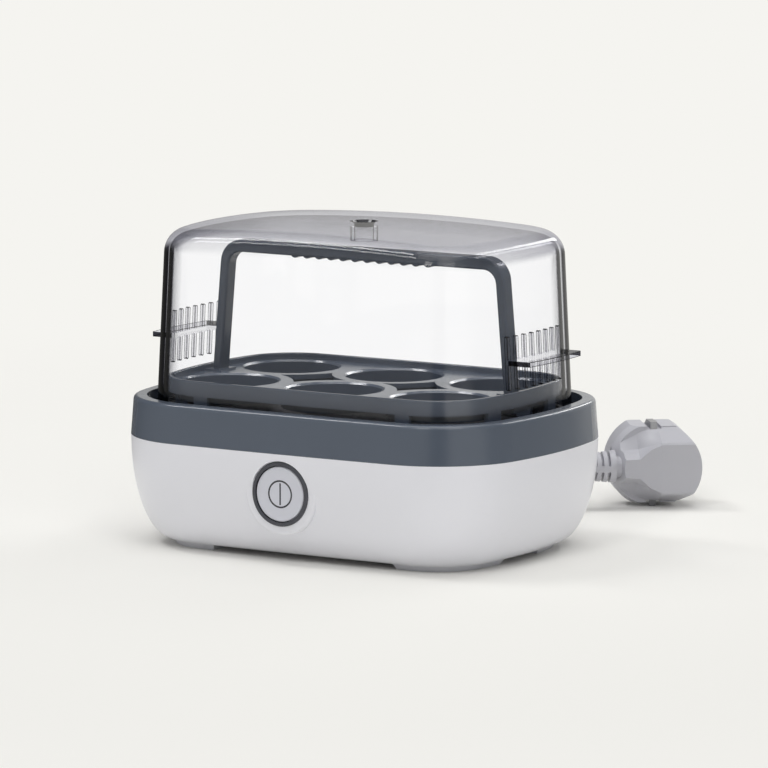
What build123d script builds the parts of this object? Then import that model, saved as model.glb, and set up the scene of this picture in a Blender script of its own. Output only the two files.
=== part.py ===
from build123d import *
from math import cos, hypot, pi, radians, sin, sqrt, tan
import os

# An electric egg cooker for six eggs, in millimetres.
# The origin is on the table under the middle of the base. +X runs along the length,
# -Y is the side with the push button, +Z is up.

os.makedirs("parts", exist_ok=True)

# Plan outline at the joint between the white and the grey housing
HALF_LENGTH = 92.5
HALF_WIDTH = 65.4
SIDE_BOW_R = 1940.0
END_BOW_R = 180.0
CORNER_R = 39.5

# Heights of the base
UNDERSIDE = 2.5
SEAM = 45.5
RIM_TOP = 61.5
WALL = 2.2
FLOOR = 3.0
BODY_TUCK = 16.6
BODY_SECTIONS = 7

# Feet under the corners
FOOT_OUTER = 18.4
FOOT_INNER = 26.6
FOOT_SLOPE = 1.6
FOOT_FROM_X = 44.0
FOOT_FROM_Y = 15.0

# Air slots in the underside
VENT_SLOTS = 7
VENT_PITCH = 8.0
VENT_HALF_W = 1.2
VENT_HALF = 14.0

# Grey upper housing
BAND_DRAFT = 1.2
BAND_WALL = 2.6
BAND_EDGE_R = 1.8
RIM_INNER = 6.6
RIM_WALL = 2.2
LEDGE_TOP = 55.0
LEDGE_INNER = 13.3
SKIRT_OUTER = 11.2
SKIRT_LOW = 47.5
LIP_OUTER = 2.35
LIP_INNER = 3.8
LIP_LOW = 42.0

# Heating pan and its seal
SHEET = 0.8
SEAL_OUTER = 7.2
SEAL_INNER = 10.4
PAN_FLANGE = 7.1
PAN_MOUTH = 14.8
PAN_STEP = 50.0
PAN_STEP_INNER = 19.0
PAN_FLOOR = 41.0
PAN_FLOOR_INSET = 21.5
FLANGE_TOP = LEDGE_TOP + 2 * SHEET

# Heater under the pan
HEAT_PLATE = 2.0
HEAT_PLATE_INSET = 31.0
ELEMENT_D = 6.5
ELEMENT_X = 46.0
ELEMENT_Y = 16.0
BRAZE = 0.3
THERMOSTAT_D = 16.0
FUSE_X = 26.0

# Brackets and screws that hold the pan and both housings together
BRACKET_X = 34.0
BRACKET_LOW = 28.0
BRACKET_SHEET = 1.5
BRACKET_W = 12.0
BRACKET_HALF = 60.5
BOSS_Y = 56.5
POST_Y = 40.0
STUD_Y = 26.0
SCREW_D = 3.2
HEAD_D = 6.4
SCREW_SEAT = 12.0
POST_R = 5.2
BOSS_R = 3.5
THREAD_R = 1.3
PILOT_R = 1.2
STUD_R = 2.0
NUT_R = 4.0
NUT_H = 3.2

# Push button, its ring and the switch behind it
BUTTON_Z = 29.3
PAD_R = 16.8
PAD_FACE = -64.35
PAD_BACK = -57.6
RING_OUTER_R = 13.15
RING_INNER_R = 11.55
RING_FLANGE_R = 15.5
RING_FACE = -65.1
RING_BACK = -56.0
RING_STEP = -60.0
BUTTON_R = 11.25
BUTTON_FACE = -64.75
SWITCH_FACE = -42.0
SWITCH_BACK = -22.0
SWITCH_W = 18.0
SWITCH_H = 13.0
PLUNGER = 3.4
SWITCH_SCREW_X = 20.5
SWITCH_POST_R = 3.4
SWITCH_TAG_X = 5.0
SWITCH_TAG_Z = 3.0
CAP_EDGE_R = 0.6
DISH_R = 260.0
DISH_DEEP = 0.2
STEM_R = 3.5

# Egg tray
TRAY_OUTLINE = 15.3
TRAY_WALL = 2.0
TRAY_TOP = 67.1
TRAY_LIP = 69.5
TRAY_SKIRT = 63.2
TRAY_BOSS = 0.8
TRAY_SEAT = PAN_STEP + 0.1
EGG_R = 20.0
EGG_PITCH_X = 50.1
EGG_Y = 23.6
COLLAR_WALL = 1.6
COLLAR_LOW = 60.0
HOLE_BEVEL = 0.8
LIP_ROUND = 0.6
STAR_X = 24.7
STAR_REACH_X = 15.8
STAR_REACH_Y = 15.2
STAR_WEB = 5.3
LEG_X = 48.0
LEG_W = 6.5
END_LEG_Y = 23.0
END_LEG_W = 8.0

# Carrying handle of the tray
HANDLE_X = 70.0
HANDLE_FROM = 59.6
HANDLE_LEAN = 0.087
HANDLE_TENON = -0.35
HANDLE_T = 4.0
HANDLE_W = 7.2
HANDLE_EDGE_R = 1.1
HANDLE_TOP = 122.5
HANDLE_BAR = 5.1
HANDLE_CORNER_R = 10.0
RIPPLE_PITCH = 5.8
RIPPLES = 12
RIPPLE_R = 2.4
RIPPLE_OUT = 0.8

# Lid
LID_LOW = FLANGE_TOP + 0.1
LID_OUTLINE = 10.8
LID_TUCK = 3.8
LID_WALL = 2.2
LID_TOP = 133.5
LID_DOME_R = 900.0
LID_EDGE_R = 10.5
LID_BEAD = 9.6
LID_BEAD_H = 1.8
VENT_R = 4.0
VENT_RIM_R = 5.1
VENT_COLLAR_R = 5.6
VENT_DEEP = 8.0
GRIP_Y = 21.0
GRIP_X = 91.6
GRIP_LOW = 82.0
GRIP_HIGH = 84.0
RIB_PITCH = 5.8
RIBS = 8
RIB_W = 1.45
RIB_LOW = 71.8
RIB_HIGH = 93.7
RIB_OUT = 1.6

# Cord, its gland, coil and tie
CORD_D = 7.0
GLAND_X = -20.0
GLAND_Z = 18.0
GLAND_SEAT = 63.2
GLAND_END = 90.0
GLAND_NECK_R = 5.0
GLAND_INSIDE = 57.0
GLAND_WALL = 59.0
GLAND_BOSS_R = 8.8
GLAND_FLANGE_R = 7.6
GLAND_COLLAR_R = 7.8
GLAND_GROOVES = 5
CORD_STRIPPED = 40.0
CLAMP_LOW = 21.4
TERMINAL_Y = 25.0
POLE_PITCH = 9.0
COIL_X = -70.7
COIL_Y = 123.2
COIL_HEADING = 22.0
COIL_R = 43.0
COIL_PITCH = 7.7
LAYER_STEP = 7.6
COIL_LIFT = 1.0
COIL_QUARTERS_IN = 7
COIL_QUARTERS_OUT = 6
LEAD_ROUTE = [(-20.0, 101.5, 18.0), (-21.0, 112.8, 15.1), (-24.3, 123.2, 12.2)]
TAIL_ROUTE = [
    (-34.2, 91.5, 4.5),
    (-19.9, 95.9, 5.3),
    (-5.4, 99.8, 8.9),
    (8.3, 104.6, 14.1),
    (21.2, 111.2, 18.2),
]
CLAMP_Y = 49.0
CLAMP_X = 8.0
CLAMP_POST_R = 3.6
CLAMP_BAR = 3.0
TIE_W = 6.0
TIE_T = 1.0
TIE_ROUND = 3.5

# Plug, seen from behind with its cable running along the table
PLUG_X = 51.9
PLUG_Y = 149.2
PLUG_CENTRE_Z = 18.6
PLUG_HEADING = 40.0
PLUG_LEAN = 2.5
PLUG_R = 19.0
PLUG_FLAT = 16.5
PLUG_FRONT = 8.5
PLUG_SHOULDER = -7.0
PLUG_BACK = -18.2
HOOD_BASE = -5.0
HOOD_TAPER_FROM = -3.3
HOOD_TAPER_R = 12.6
RIDGE_HALF = 11.2
THROAT_HALF = 7.1
THROAT_X = 7.5
PLUG_AXIS = -9.4
EARTH_SLOT = 6.2
EARTH_DEEP = 1.3
EARTH_PROUD = 1.8
EARTH_W = 2.8
RELIEF_FROM = 17.5
RELIEF_TO = 34.0
RELIEF_R = 7.0
RELIEF_END_R = 5.4
RELIEF_TENON_R = 4.7
RELIEF_SLOT = 1.15
RELIEF_PITCH = 2.87
RELIEF_SLOTS = 4
RELIEF_WEB = 1.3
PIN_R = 2.4
PIN_LENGTH = 19.0
PIN_X = 9.5


def corner_centre():
    """Centre of the corner arc that touches the long bow and the end bow from inside."""
    bow_y = HALF_WIDTH - SIDE_BOW_R
    end_x = HALF_LENGTH - END_BOW_R
    from_side, from_end = SIDE_BOW_R - CORNER_R, END_BOW_R - CORNER_R
    apart = hypot(end_x, bow_y)
    along = (from_side**2 - from_end**2 + apart**2) / (2 * apart)
    across = sqrt(from_side**2 - along**2)
    ux, uy = end_x / apart, -bow_y / apart
    return Vector(ux * along + uy * across, bow_y + uy * along - ux * across)


def outline(inset, z):
    """The plan outline drawn in by inset: bowed sides and ends joined by round corners."""
    centre = corner_centre()
    radius = CORNER_R - inset
    to_side = (centre - Vector(0, HALF_WIDTH - SIDE_BOW_R)).normalized()
    to_end = (centre - Vector(HALF_LENGTH - END_BOW_R, 0)).normalized()
    on_side = centre + to_side * radius
    on_end = centre + to_end * radius
    on_corner = centre + (to_side + to_end).normalized() * radius

    def at(point, sx, sy):
        return Vector(point.X * sx, point.Y * sy, z)

    def corner(sx, sy):
        ends = [at(on_end, sx, sy), at(on_side, sx, sy)]
        if sx * sy < 0:
            ends.reverse()
        return ThreePointArc(ends[0], at(on_corner, sx, sy), ends[1])

    def end(sx):
        return ThreePointArc(at(on_end, sx, -sx), (sx * (HALF_LENGTH - inset), 0, z), at(on_end, sx, sx))

    def side(sy):
        return ThreePointArc(at(on_side, sy, sy), (0, sy * (HALF_WIDTH - inset), z), at(on_side, -sy, sy))

    return Wire([end(1), corner(1, 1), side(1), corner(-1, 1), end(-1), corner(-1, -1), side(-1), corner(1, -1)])


def slab(inset, low, high):
    """A prism of the plan outline between two heights."""
    return Solid.extrude(Face(outline(inset, low)), Vector(0, 0, high - low))


def tapered(low_inset, low, high_inset, high):
    """A straight-sided form between two sizes of the plan outline."""
    return Solid.make_loft([outline(low_inset, low), outline(high_inset, high)], ruled=True)


def ring(outer, inner, low, high):
    """A wall that follows the plan outline."""
    return slab(outer, low, high) - slab(inner, low - 1, high + 1)


def box(x0, x1, y0, y1, z0, z1):
    """A block between two corners."""
    return Pos((x0 + x1) / 2, (y0 + y1) / 2, (z0 + z1) / 2) * Box(abs(x1 - x0), abs(y1 - y0), z1 - z0)


def rod(radius, x, y, z0, z1):
    """An upright round bar."""
    return Pos(x, y, (z0 + z1) / 2) * Cylinder(radius, z1 - z0)


def rod_y(radius, x, z, y0, y1):
    """A round bar along Y."""
    return Pos(x, (y0 + y1) / 2, z) * Rot(90, 0, 0) * Cylinder(radius, y1 - y0)


def fourfold(x, y):
    """The four places at plus and minus x and y."""
    return [(sx * x, sy * y) for sx in (-1, 1) for sy in (-1, 1)]


def screw(radius, head_radius, x, y, seat, tip, head):
    """A round-headed screw that points up from its seat."""
    return rod(radius, x, y, seat, tip) + rod(head_radius, x, y, seat - head, seat)


def body_form(skin, floor):
    """The bowl of the white housing, drawn in by skin and raised by floor."""
    sections = []
    for step in range(BODY_SECTIONS):
        angle = radians(90 * (BODY_SECTIONS - 1 - step) / (BODY_SECTIONS - 1))
        z = SEAM - (SEAM - UNDERSIDE - floor) * sin(angle)
        sections.append(outline(skin + BODY_TUCK * (1 - cos(angle)), z))
    return Solid.make_loft(sections)


def foot(sx, sy):
    """A corner foot that follows the round of the outline, with sloped sides."""
    top = UNDERSIDE + 0.3
    band = tapered(FOOT_OUTER, 0, FOOT_OUTER - FOOT_SLOPE, top) - tapered(FOOT_INNER, 0, FOOT_INNER + FOOT_SLOPE, top)
    low = Pos(FOOT_FROM_X + 40, FOOT_FROM_Y + 40) * Rectangle(80, 80)
    high = Pos(FOOT_FROM_X + 40 - FOOT_SLOPE, FOOT_FROM_Y + 40 - FOOT_SLOPE, top) * Rectangle(80, 80)
    quarter = band & loft([low, high])
    if sx < 0:
        quarter = mirror(quarter, Plane.YZ)
    if sy < 0:
        quarter = mirror(quarter, Plane.XZ)
    return quarter


def lower_housing():
    """White bowl with feet, button pad, gland seat, screw posts and cord saddle."""
    below_seam = box(-PAD_R, PAD_R, -HALF_WIDTH, 0, 0, SEAM)
    pad = fillet(rod_y(PAD_R, 0, BUTTON_Z, PAD_FACE, -45).edges().group_by(Axis.Y)[0], 1.2) & below_seam
    seat = rod_y(GLAND_BOSS_R, GLAND_X, GLAND_Z, 50, GLAND_SEAT)
    shell = body_form(0, 0) + pad + seat
    shell -= body_form(WALL, FLOOR)
    shell += rod_y(PAD_R, 0, BUTTON_Z, -63, PAD_BACK) & below_seam
    shell += rod_y(GLAND_BOSS_R, GLAND_X, GLAND_Z, GLAND_WALL, GLAND_SEAT - 1)
    for sx, sy in fourfold(1, 1):
        shell += foot(sx, sy)
    for x, y in fourfold(BRACKET_X, POST_Y):
        shell += rod(POST_R, x, y, UNDERSIDE + 1, BRACKET_LOW)
    for x in (-SWITCH_SCREW_X, SWITCH_SCREW_X):
        shell += rod_y(SWITCH_POST_R, x, BUTTON_Z, -62.5, SWITCH_FACE)
    for x in clamp_places():
        shell += rod(CLAMP_POST_R, x, CLAMP_Y, UNDERSIDE + 1, CLAMP_LOW)
    saddle = GLAND_Z - CORD_D / 2 - 0.1
    shell += box(GLAND_X - CLAMP_X, GLAND_X + CLAMP_X, CLAMP_Y - 3, CLAMP_Y + 3, UNDERSIDE + 1, saddle)
    for x, y in fourfold(BRACKET_X, POST_Y):
        shell -= rod(SCREW_D / 2 + 0.2, x, y, 0, BRACKET_LOW + 1) + rod(HEAD_D / 2 + 0.5, x, y, 0, SCREW_SEAT)
    for x in (-SWITCH_SCREW_X, SWITCH_SCREW_X):
        shell -= rod_y(PILOT_R, x, BUTTON_Z, -55, SWITCH_FACE + 1)
    for x in clamp_places():
        shell -= rod(PILOT_R, x, CLAMP_Y, CLAMP_LOW - 11.4, CLAMP_LOW + 0.6)
    shell -= rod_y(RING_OUTER_R + 0.1, 0, BUTTON_Z, -80, -50)
    shell -= rod_y(RING_OUTER_R + 0.35, 0, BUTTON_Z, -80, PAD_FACE)
    shell -= rod_y(RING_FLANGE_R + 0.1, 0, BUTTON_Z, PAD_BACK, -50)
    shell -= rod_y(GLAND_NECK_R + 0.1, GLAND_X, GLAND_Z, 52, 80)
    shell -= rod_y(GLAND_FLANGE_R + 0.1, GLAND_X, GLAND_Z, 50, GLAND_WALL)
    shell -= rod_y(GLAND_COLLAR_R + 0.1, GLAND_X, GLAND_Z, GLAND_SEAT, 80)
    for k in range(VENT_SLOTS):
        x = (k - (VENT_SLOTS - 1) / 2) * VENT_PITCH
        shell -= box(x - VENT_HALF_W, x + VENT_HALF_W, -VENT_HALF, VENT_HALF, 0, UNDERSIDE + FLOOR + 1)
    return shell


def upper_housing():
    """Grey band with the rim, the ledge for the pan and the bosses under it."""
    band = tapered(0, SEAM, BAND_DRAFT, RIM_TOP)
    band = fillet(band.edges().group_by(Axis.Z)[-1], BAND_EDGE_R)
    band -= slab(BAND_WALL, SEAM - 1, RIM_TOP - RIM_WALL)
    band -= slab(RIM_INNER, SEAM, RIM_TOP + 1)
    band += ring(RIM_INNER - RIM_WALL, RIM_INNER, LEDGE_TOP - 0.5, RIM_TOP - RIM_WALL + 0.5)
    band += ring(RIM_INNER - RIM_WALL, LEDGE_INNER, LEDGE_TOP - RIM_WALL, LEDGE_TOP)
    band += ring(SKIRT_OUTER, LEDGE_INNER, SKIRT_LOW, LEDGE_TOP - 1)
    lip = ring(LIP_OUTER, LIP_INNER, LIP_LOW, SEAM + 4)
    band += lip - box(-PAD_R - 1, PAD_R + 1, -70, -50, 0, SEAM)
    for x, y in fourfold(BRACKET_X, BOSS_Y):
        band += rod(BOSS_R, x, y, BRACKET_LOW + BRACKET_SHEET, LEDGE_TOP - 1)
        band -= rod(THREAD_R, x, y, BRACKET_LOW, LEDGE_TOP - 12)
    return band


def heating_pan():
    """Polished steel pan with a flange on the seal and a step that carries the tray."""
    pan = slab(PAN_MOUTH - SHEET, PAN_STEP - SHEET, FLANGE_TOP)
    pan += tapered(PAN_FLOOR_INSET - SHEET, PAN_FLOOR - SHEET, PAN_STEP_INNER - SHEET, PAN_STEP)
    pan += slab(PAN_FLANGE, FLANGE_TOP - SHEET, FLANGE_TOP)
    pan -= slab(PAN_MOUTH, PAN_STEP, FLANGE_TOP + 1)
    pan -= tapered(PAN_FLOOR_INSET, PAN_FLOOR, PAN_STEP_INNER, PAN_STEP)
    return pan


def pan_seal():
    """Flat silicone ring between the pan's flange and the ledge."""
    return ring(SEAL_OUTER, SEAL_INNER, LEDGE_TOP, LEDGE_TOP + SHEET)


def pan_studs():
    """Four studs welded under the pan."""
    return [rod(STUD_R, x, y, BRACKET_LOW - 4.5, PAN_FLOOR - SHEET) for x, y in fourfold(BRACKET_X, STUD_Y)]


def stud_nuts():
    """Hexagon nuts that pull the pan down on its brackets."""
    nuts = []
    for x, y in fourfold(BRACKET_X, STUD_Y):
        nut = Pos(x, y, BRACKET_LOW - NUT_H) * extrude(RegularPolygon(NUT_R, 6), NUT_H)
        nuts.append(nut - rod(STUD_R + 0.05, x, y, BRACKET_LOW - 5, BRACKET_LOW + 1))
    return nuts


def pan_brackets():
    """Two steel strips across the base that carry the studs and both rows of bosses."""
    strips = []
    for sx in (-1, 1):
        x = sx * BRACKET_X
        half = BRACKET_W / 2
        strip = box(x - half, x + half, -BRACKET_HALF, BRACKET_HALF, BRACKET_LOW, BRACKET_LOW + BRACKET_SHEET)
        strip = fillet(strip.edges().filter_by(Axis.Z), 3)
        for y in (-BOSS_Y, BOSS_Y, -POST_Y, POST_Y):
            strip -= rod(SCREW_D / 2 + 0.1, x, y, BRACKET_LOW - 1, BRACKET_LOW + 3)
        for y in (-STUD_Y, STUD_Y):
            strip -= rod(STUD_R + 0.15, x, y, BRACKET_LOW - 1, BRACKET_LOW + 3)
        strips.append(strip)
    return strips


def bracket_screws():
    """Screws from the brackets up into the bosses of the grey housing."""
    return [screw(1.25, 3, x, y, BRACKET_LOW, BRACKET_LOW + 12, 2) for x, y in fourfold(BRACKET_X, BOSS_Y)]


def housing_screws():
    """Long screws from the underside that hold the white housing to the brackets."""
    places = fourfold(BRACKET_X, POST_Y)
    return [screw(SCREW_D / 2, HEAD_D / 2, x, y, SCREW_SEAT, BRACKET_LOW + 4, 2.4) for x, y in places]


def heat_plate():
    """Aluminium plate that spreads the heat under the pan."""
    low = PAN_FLOOR - SHEET - HEAT_PLATE
    plate = slab(HEAT_PLATE_INSET, low, PAN_FLOOR - SHEET)
    plate -= rod(THERMOSTAT_D / 2 + 1, 0, 0, low - 1, PAN_FLOOR)
    for x, y in fourfold(BRACKET_X, STUD_Y):
        plate -= rod(STUD_R + 0.4, x, y, low - 1, PAN_FLOOR)
    return plate


def element_path(z):
    """Hairpin of the heater tube with both ends turned down."""
    points = [(ELEMENT_X, ELEMENT_Y, z - 12), (ELEMENT_X, ELEMENT_Y, z), (-ELEMENT_X, ELEMENT_Y, z)]
    points += [(x, -y, height) for x, y, height in reversed(points)]
    return FilletPolyline(*points, radius=[7, 13, 13, 7])


def heating_element():
    """Tubular heater brazed to the plate, with a contact stud at each end."""
    z = PAN_FLOOR - SHEET - HEAT_PLATE - ELEMENT_D / 2 + BRAZE
    path = element_path(z)
    start = Plane(origin=path @ 0, z_dir=path % 0)
    tube = sweep(start * Circle(ELEMENT_D / 2), path=path)
    for y in (-ELEMENT_Y, ELEMENT_Y):
        tube += rod(1.2, ELEMENT_X, y, z - 17, z - 11)
    return tube


def thermostat():
    """Round snap-action thermostat pressed to the pan, with two blade contacts."""
    top = PAN_FLOOR - SHEET
    body = rod(THERMOSTAT_D / 2, 0, 0, top - 9, top)
    body += rod(THERMOSTAT_D / 2 - 2, 0, 0, top - 13, top - 9)
    for x in (-5, 5):
        body += box(x - 0.4, x + 0.4, -3.1, 3.1, top - 21, top - 12.5)
    return body


def thermostat_clip():
    """Steel strap under the thermostat's rim, fixed on the plate at both sides."""
    low = PAN_FLOOR - SHEET - 9.8
    high = PAN_FLOOR - SHEET - HEAT_PLATE
    strap = box(-4, 4, -11.6, 11.6, low, low + 0.8) + box(-4, 4, -11.6, -10.8, low, high)
    strap += box(-4, 4, 10.8, 11.6, low, high)
    return strap - rod(THERMOSTAT_D / 2 - 1.9, 0, 0, low - 1, low + 1)


def thermal_fuse():
    """Thermal cut-out in its sleeve, held against the heat plate."""
    z = PAN_FLOOR - SHEET - HEAT_PLATE - 2.2
    fuse = Pos(FUSE_X, 0, z) * Rot(90, 0, 0) * Cylinder(2.2, 12)
    return fuse + Pos(FUSE_X, 0, z) * Rot(90, 0, 0) * Cylinder(0.6, 20)


def button_ring():
    """Dark ring round the button, with a flange behind the wall and a stop inside."""
    collar = rod_y(RING_OUTER_R, 0, BUTTON_Z, RING_FACE, RING_BACK)
    collar = fillet(collar.edges().group_by(Axis.Y)[0], 0.5)
    collar += rod_y(RING_FLANGE_R, 0, BUTTON_Z, PAD_BACK, RING_BACK)
    collar -= rod_y(RING_INNER_R, 0, BUTTON_Z, RING_FACE - 1, RING_BACK + 1)
    return collar - rod_y(RING_INNER_R + 1.0, 0, BUTTON_Z, RING_STEP, RING_BACK + 1)


def push_button():
    """Button cap with a slightly dished face, a stop flange and a stem."""
    cap = rod_y(BUTTON_R, 0, BUTTON_Z, BUTTON_FACE, RING_STEP + 2)
    cap = fillet(cap.edges().group_by(Axis.Y)[0], CAP_EDGE_R)
    cap -= Pos(0, BUTTON_FACE - DISH_R + DISH_DEEP, BUTTON_Z) * Sphere(DISH_R)
    cap += rod_y(RING_INNER_R + 0.7, 0, BUTTON_Z, RING_STEP + 0.1, RING_STEP + 1.6)
    cap += rod_y(STEM_R, 0, BUTTON_Z, RING_STEP + 1, RING_STEP + 12)
    cap -= box(-PLUNGER / 2, PLUNGER / 2, -52, -40, BUTTON_Z - PLUNGER / 2, BUTTON_Z + PLUNGER / 2)
    return cap


def switch_plunger():
    """Square plunger of the switch, pushed into the button's stem."""
    half = PLUNGER / 2
    return box(-half, half, -52, SWITCH_FACE + 5, BUTTON_Z - half, BUTTON_Z + half)


def switch_body():
    """Latching mains switch with an open plunger guide and four tags."""
    half_w, half_h = SWITCH_W / 2, SWITCH_H / 2
    low, high = BUTTON_Z - half_h, BUTTON_Z + half_h - 1
    body = box(-half_w, half_w, SWITCH_FACE + 1.5, SWITCH_BACK, low, high)
    hole = PLUNGER / 2 + 0.3
    body -= box(-hole, hole, SWITCH_FACE - 1, SWITCH_FACE + 8, BUTTON_Z - hole, BUTTON_Z + hole)
    for x, z in fourfold(SWITCH_TAG_X, SWITCH_TAG_Z):
        tag_z = BUTTON_Z - 0.5 + z
        body += box(x - 1.6, x + 1.6, SWITCH_BACK, SWITCH_BACK + 4, tag_z - 0.3, tag_z + 0.3)
    return body


def switch_bracket():
    """Plate that carries the switch on the two posts beside the button."""
    plate = box(-25, 25, SWITCH_FACE, SWITCH_FACE + 1.5, BUTTON_Z - 6, BUTTON_Z + 5.5)
    hole = PLUNGER / 2 + 0.6
    plate -= box(-hole, hole, SWITCH_FACE - 1, SWITCH_FACE + 3, BUTTON_Z - hole, BUTTON_Z + hole)
    for x in (-SWITCH_SCREW_X, SWITCH_SCREW_X):
        plate -= rod_y(1.4, x, BUTTON_Z, SWITCH_FACE - 1, SWITCH_FACE + 3)
    return plate


def switch_screws():
    """Two screws through the switch plate into its posts."""
    screws = []
    for x in (-SWITCH_SCREW_X, SWITCH_SCREW_X):
        back = SWITCH_FACE + 1.5
        screws.append(rod_y(1.15, x, BUTTON_Z, -50, back) + rod_y(2.6, x, BUTTON_Z, back, back + 1.8))
    return screws


def egg_places():
    """Centres of the six egg holes."""
    return [(x * EGG_PITCH_X, y * EGG_Y) for x in (-1, 0, 1) for y in (-1, 1)]


def star(sx):
    """Four-pointed steam opening whose sides run round the nearest egg holes."""
    x = sx * STAR_X
    tips = [Vector(x + STAR_REACH_X, 0), Vector(x, STAR_REACH_Y), Vector(x - STAR_REACH_X, 0), Vector(x, -STAR_REACH_Y)]
    arcs = []
    for k, (ax, ay) in enumerate([(1, 1), (-1, 1), (-1, -1), (1, -1)]):
        egg_x = (x > 0) * EGG_PITCH_X if ax > 0 else (x > 0) * EGG_PITCH_X - EGG_PITCH_X
        egg = Vector(egg_x, ay * EGG_Y)
        middle = egg + (Vector(x, 0) - egg).normalized() * (EGG_R + STAR_WEB)
        arcs.append(ThreePointArc(tips[k], middle, tips[(k + 1) % 4]))
    return Pos(0, 0, COLLAR_LOW - 1) * extrude(Face(Wire(arcs)), 10)


def egg_tray():
    """Tray plate with raised edge, six collared egg holes, two stars and its legs."""
    tray = slab(TRAY_OUTLINE, TRAY_TOP - TRAY_WALL, TRAY_TOP)
    lip = ring(TRAY_OUTLINE, TRAY_OUTLINE + TRAY_WALL, TRAY_SKIRT, TRAY_LIP)
    tray += fillet(lip.edges().group_by(Axis.Z)[-1], LIP_ROUND)
    legs = ring(TRAY_OUTLINE, TRAY_OUTLINE + TRAY_WALL, TRAY_SEAT, TRAY_SKIRT + 1)
    across = box(-LEG_X - LEG_W / 2, -LEG_X + LEG_W / 2, -70, 70, TRAY_SEAT, TRAY_TOP)
    across += box(LEG_X - LEG_W / 2, LEG_X + LEG_W / 2, -70, 70, TRAY_SEAT, TRAY_TOP)
    along = box(-90, 90, -END_LEG_Y - END_LEG_W / 2, -END_LEG_Y + END_LEG_W / 2, TRAY_SEAT, TRAY_TOP)
    along += box(-90, 90, END_LEG_Y - END_LEG_W / 2, END_LEG_Y + END_LEG_W / 2, TRAY_SEAT, TRAY_TOP)
    tray += legs & (across + along)
    for x, y in egg_places():
        tray += rod(EGG_R + COLLAR_WALL, x, y, COLLAR_LOW, TRAY_TOP - 0.5)
    for sx in (-1, 1):
        x = sx * (HANDLE_X + 0.2)
        tray += box(x - 4, x + 4, -5.6, 5.6, COLLAR_LOW, TRAY_TOP + TRAY_BOSS)
    for x, y in egg_places():
        tray -= rod(EGG_R, x, y, COLLAR_LOW - 1, TRAY_LIP + 1)
        tray -= Pos(x, y, TRAY_TOP - HOLE_BEVEL / 2) * Cone(EGG_R, EGG_R + HOLE_BEVEL, HOLE_BEVEL)
    for sx in (-1, 1):
        tray -= star(sx)
    return tray - handle_blank(HANDLE_TENON + 0.08)


def handle_blank(spare):
    """The plain arch, grown by spare all round."""
    half = HANDLE_T / 2 + spare

    def leg_x(z, offset):
        return HANDLE_X - HANDLE_LEAN * (z - TRAY_TOP) + offset

    low, top = HANDLE_FROM, HANDLE_TOP + spare
    under = HANDLE_TOP - HANDLE_BAR - spare
    outer = [(leg_x(low, half), low), (leg_x(top, half), top)]
    inner = [(leg_x(low, -half), low - 1), (leg_x(under, -half), under)]

    def arch(side, radius):
        points = side + [(-x, z) for x, z in reversed(side)]
        face = make_face(Polyline(*points, close=True))
        return fillet(face.vertices().group_by(Axis.Y)[-1], radius)

    profile = arch(outer, HANDLE_CORNER_R) - arch(inner, HANDLE_CORNER_R - HANDLE_T)
    return extrude(Plane.XZ * profile, HANDLE_W / 2 + spare, both=True)


def tray_handle():
    """Arched handle whose legs stand on the tray with a thinner end through it."""
    seat = TRAY_TOP + TRAY_BOSS
    below_seat = box(-90, 90, -20, 20, 0, seat)
    arch = handle_blank(0) - below_seat
    long_edges = arch.edges().filter_by(Axis.Y, reverse=True).filter_by(lambda edge: edge.center().Z > seat + 1)
    arch = fillet(long_edges, HANDLE_EDGE_R) + (handle_blank(HANDLE_TENON) & below_seat)
    for k in range(RIPPLES):
        x = (k - (RIPPLES - 1) / 2) * RIPPLE_PITCH
        z = HANDLE_TOP - HANDLE_BAR - RIPPLE_OUT + RIPPLE_R
        arch += rod_y(RIPPLE_R, x, z, -HANDLE_W / 2 + 1, HANDLE_W / 2 - 1)
    return arch


def lid_form(skin):
    """The closed bell of the lid, drawn in by skin, with a domed top and a round edge."""
    form = tapered(LID_OUTLINE + skin, LID_LOW, LID_OUTLINE + LID_TUCK + skin, LID_TOP + 1)
    form &= Pos(0, 0, LID_TOP - skin - LID_DOME_R) * Rot(0, 90, 0) * Sphere(LID_DOME_R)
    edge_low = LID_TOP - LID_EDGE_R
    rim = [edge for edge in form.edges() if edge.center().Z > edge_low and abs(edge.tangent_at(0.5).Z) < 0.2]
    return fillet(rim, LID_EDGE_R - skin)


def lid():
    """Clear lid with a steam vent in the top and a ribbed grip at each end."""
    shell = lid_form(0)
    ribs = []
    for k in range(RIBS):
        y = (k - (RIBS - 1) / 2) * RIB_PITCH
        slot = SlotOverall(RIB_HIGH - RIB_LOW, RIB_W, rotation=90)
        ribs.append(extrude(Plane.YZ * Pos(y, (RIB_LOW + RIB_HIGH) / 2) * slot, 90, both=True))
    grips = Compound(ribs) & tapered(LID_OUTLINE - RIB_OUT, LID_LOW, LID_OUTLINE + LID_TUCK - RIB_OUT, LID_TOP)
    wings = slab(HALF_LENGTH - GRIP_X, GRIP_LOW, GRIP_HIGH) & box(-95, 95, -GRIP_Y, GRIP_Y, GRIP_LOW, GRIP_HIGH)
    wings = fillet(wings.edges().filter_by(Axis.Z), 1.2)
    shell = shell + wings + [solid for solid in grips.solids()]
    shell += slab(LID_BEAD, LID_LOW, LID_LOW + LID_BEAD_H)
    shell -= lid_form(LID_WALL)
    shell -= slab(LID_OUTLINE + LID_WALL, LID_LOW - 1, LID_LOW + 0.5)
    shell += rod(VENT_COLLAR_R, 0, 0, LID_TOP - VENT_DEEP, LID_TOP - 1)
    shell -= rod(VENT_R, 0, 0, LID_TOP - 20, LID_TOP + 5)
    return shell - Pos(0, 0, LID_TOP - 0.5) * Cone(VENT_R, VENT_RIM_R + 0.2, 1.4)


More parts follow.
